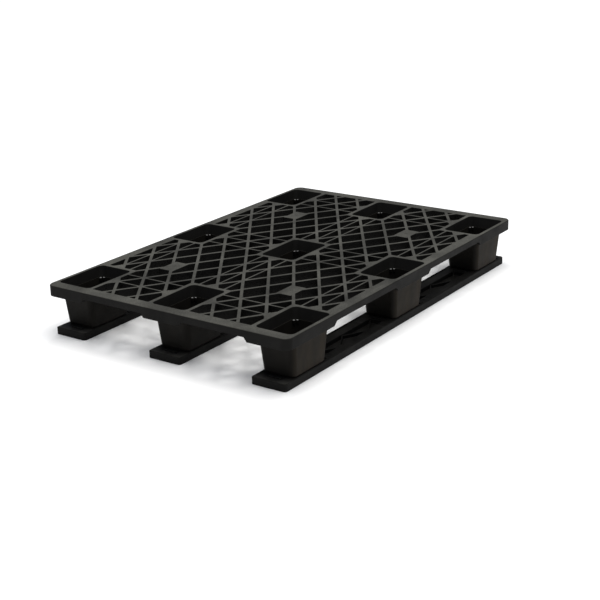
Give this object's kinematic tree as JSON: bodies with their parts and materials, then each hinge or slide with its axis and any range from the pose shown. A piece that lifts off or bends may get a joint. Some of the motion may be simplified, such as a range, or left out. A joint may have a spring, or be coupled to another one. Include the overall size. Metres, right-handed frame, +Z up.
{
  "type": "plastic pallet",
  "caption": "Open grid deck on nine hollow feet, held together below by clip-on runners; black moulded plastic",
  "frame": {"origin": "on the floor under the middle of the deck", "axes": "+Z up; +Y along the runners and the long side of the deck; +X across it, away from the runners' stepped sides"},
  "size_m": [0.8, 1.2, 0.144],
  "materials": {
    "deck_plastic": "matt black recycled polyolefin with a worn, dusty top",
    "foot_plastic": "matt brownish-black recycled polyolefin with faint upright flow marks",
    "runner_plastic": "satin black recycled polyolefin"
  },
  "bodies": {
    "deck": {"deck_grid": "deck_plastic", "foot_front_left": "foot_plastic", "foot_front_middle": "foot_plastic", "foot_front_right": "foot_plastic", "foot_centre_left": "foot_plastic", "foot_centre_middle": "foot_plastic", "foot_centre_right": "foot_plastic", "foot_rear_left": "foot_plastic", "foot_rear_middle": "foot_plastic", "foot_rear_right": "foot_plastic"},
    "runner_left": {"runner_left": "runner_plastic"},
    "runner_middle": {"runner_middle": "runner_plastic"},
    "runner_right": {"runner_right": "runner_plastic"}
  },
  "joints": [
    {"name": "runner_left_release", "type": "slide", "parent": "deck", "child": "runner_left", "axis": [0, 0, -1], "range_m": [0, 0.03]},
    {"name": "runner_middle_release", "type": "slide", "parent": "deck", "child": "runner_middle", "axis": [0, 0, -1], "range_m": [0, 0.03]},
    {"name": "runner_right_release", "type": "slide", "parent": "deck", "child": "runner_right", "axis": [0, 0, -1], "range_m": [0, 0.03]}
  ]
}
